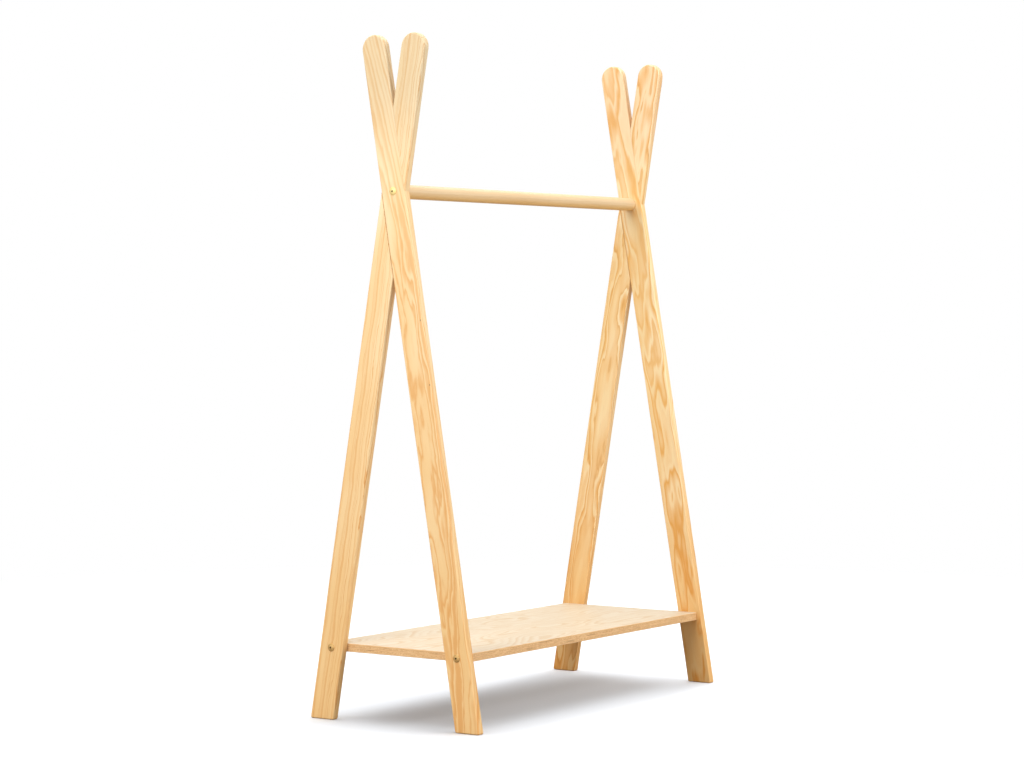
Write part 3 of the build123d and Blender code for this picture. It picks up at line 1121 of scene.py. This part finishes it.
@dataclass(frozen=True)
class Studio:
    """A white studio: a pale floor, soft light and a level camera with a long lens.

    The floor and the sky look white, and throw back less light than they show.
    """

    floor_reach: float = 30.0
    floor_tone: Colour = (0.88, 0.915, 0.96)
    floor_clouds: Triple = (1.5, 1.5, 1.5)
    floor_cloudy: float = 0.985
    floor_bounce: Colour = (0.36, 0.30, 0.25)
    floor_glow: float = 0.35
    floor_clear: Point = (1.3, 3.2)
    floor_roughness: float = 0.85
    floor_shine: float = 0.1
    sky: float = 0.54
    overhead_box: SoftBox = SoftBox("overhead_box", (0.6, 0.7, 4.4), (0.0, 0.0, 0.0), size=6.0, power=235.0)
    front_box: SoftBox = SoftBox("front_box", (0.4, -4.3, 1.9), (-0.1, 0.0, 0.7), size=3.4, power=120.0)
    side_box: SoftBox = SoftBox("side_box", (-4.4, 0.2, 2.4), (0.0, 0.0, 0.6), size=2.0, power=133.0)
    floor_box: SoftBox = SoftBox("floor_box", (4.2, 0.4, 0.6), (0.45, 0.0, 0.0), size=1.0, power=80.0)
    camera_place: Triple = (-5.1119, -3.4511, 0.8850)
    camera_heading: float = math.radians(34.2156)
    camera_sight: float = 100.0
    lens: float = 96.96
    sensor: float = 36.0
    rise: float = -0.0786

    def build(self) -> None:
        """Sets up the floor, the light and the camera."""
        self._light(self._floor())
        self._camera()
        bpy.context.scene.view_settings.view_transform = "Standard"

    def _floor(self) -> bpy.types.Object:
        """Lays the floor and returns it."""
        reach = self.floor_reach
        corners = [(-reach, -reach, 0), (reach, -reach, 0), (reach, reach, 0), (-reach, reach, 0)]
        mesh = bpy.data.meshes.new("studio_floor")
        mesh.from_pydata(corners, [], [(0, 1, 2, 3)])
        material, sheet, shader = new_material("studio_white")
        place = sheet.own_place()
        cloud = sheet.noise(place, self.floor_clouds, 2.0)
        cloudy = tuple(self.floor_cloudy * part for part in self.floor_tone)
        pale = sheet.mix(cloud, self.floor_tone, cloudy)
        seen = sheet.add("ShaderNodeLightPath").outputs["Is Camera Ray"]
        sheet.fill(shader.inputs["Base Color"], sheet.mix(seen, self.floor_bounce, pale))
        shader.inputs["Roughness"].default_value = self.floor_roughness
        shader.inputs["Specular IOR Level"].default_value = self.floor_shine
        away = sheet.rise(sheet.length(place), *self.floor_clear)
        glow = sheet.math("MAXIMUM", seen, self.floor_glow)
        white = sheet.out("ShaderNodeEmission", {"Color": WHITE, "Strength": glow})
        blend = sheet.out("ShaderNodeMixShader", {0: away, 1: shader.outputs[0], 2: white})
        sheet.fill(material.node_tree.nodes["Material Output"].inputs["Surface"], blend)
        mesh.materials.append(material)
        floor = link("studio_floor", mesh)
        return floor

    def _light(self, floor: bpy.types.Object) -> None:
        """Lights the studio. The side box spares the floor, and the floor box lights nothing else."""
        world = bpy.data.worlds.new("studio")
        world.use_nodes = True
        sheet = NodeSheet(world.node_tree)
        seen = sheet.add("ShaderNodeLightPath").outputs["Is Camera Ray"]
        backdrop = world.node_tree.nodes["Background"]
        sheet.fill(backdrop.inputs["Color"], WHITE)
        sheet.fill(backdrop.inputs["Strength"], sheet.math("MAXIMUM", seen, self.sky))
        bpy.context.scene.world = world
        self.overhead_box.hang()
        self.front_box.hang()
        self.side_box.hang(floor)
        self.floor_box.hang(floor, LightRule.LIGHTS_ONLY)

    def _camera(self) -> None:
        """Sets up the camera."""
        lens = bpy.data.cameras.new("camera")
        lens.sensor_width = self.sensor
        lens.lens = self.lens
        lens.shift_y = self.rise
        lens.clip_end = self.camera_sight
        camera = bpy.data.objects.new("camera", lens)
        bpy.context.scene.collection.objects.link(camera)
        camera.location = self.camera_place
        camera.rotation_euler = (QUARTER_TURN, 0.0, self.camera_heading - QUARTER_TURN)
        bpy.context.scene.camera = camera


# ---- the rack


LEFT_FRAME = EndFrame(
    end=End.LEFT,
    grains={
        Leg.FRONT: Grain(
            heart=(-0.060, 0.004), ring_width=0.0066, sweep=0.09, sweep_middle=-0.48, bend=0.008,
            ripple=0.0056, ripples=7.0, jitter=0.0012, calm=0.75, late_from=0.08, late_peak=0.65, rim=0.05,
            seed=1.3,
        ),
        Leg.REAR: Grain(
            heart=(-0.060, -0.113), heart_drift=(0.0, 0.006), ring_width=0.0058, bend=0.006, ripple=0.0032,
            ripples=7.0, jitter=0.0013, late_peak=0.78, rim=0.35, seed=4.1,
        ),
    },
    knots={Leg.FRONT: ((-0.0255, -0.278), (-0.0265, -0.414))},
    # The look paints shade towards the feet and at the tips.
    look=PineLook(
        early=(0.93, 0.73, 0.45), late=(0.79, 0.43, 0.15), blush=(0.90, 0.66, 0.36),
        tip_tone=(0.80, 0.81, 0.82), deepen=0.8,
    ),
)
RIGHT_FRAME = EndFrame(
    end=End.RIGHT,
    grains={
        Leg.FRONT: Grain(
            heart=(-0.060, 0.004), heart_drift=(0.006, 0.012), ring_width=0.0088, sweep=0.02, bend=0.012,
            ripple=0.0090, ripples=6.0, jitter=0.0010, calm=0.2, late_from=0.05, late_peak=0.60, rim=0.05,
            seed=8.2,
        ),
        Leg.REAR: Grain(
            heart=(-0.060, -0.010), heart_drift=(-0.004, 0.012), ring_width=0.0085, sweep=0.02, bend=0.012,
            ripple=0.0090, ripples=6.5, jitter=0.0011, calm=0.2, late_from=0.15, late_peak=0.78, rim=0.35,
            seed=6.6,
        ),
    },
    knots={},
    # The look paints shade towards the feet and at the tips.
    look=PineLook(
        early=(0.97, 0.78, 0.48), late=(0.84, 0.45, 0.12), blush=(0.93, 0.69, 0.36),
        tip_tone=(0.93, 0.88, 0.90), deep_tone=(0.82, 0.66, 0.46), deepen=1.0, palest_at=-0.4,
    ),
)


def main() -> None:
    """Builds the rack and its studio."""
    logging.basicConfig(level=logging.INFO, format="%(levelname)s: %(message)s")
    leg_tree = plank_tree()
    lathe_tree = turned_tree()
    LEFT_FRAME.build(leg_tree)
    RIGHT_FRAME.build(leg_tree)
    HangingRail().build(lathe_tree)
    ConnectorBolts().build(lathe_tree)
    Shelf().dress()
    Fittings().dress()
    Studio().build()


if __name__ == "__main__":
    main()
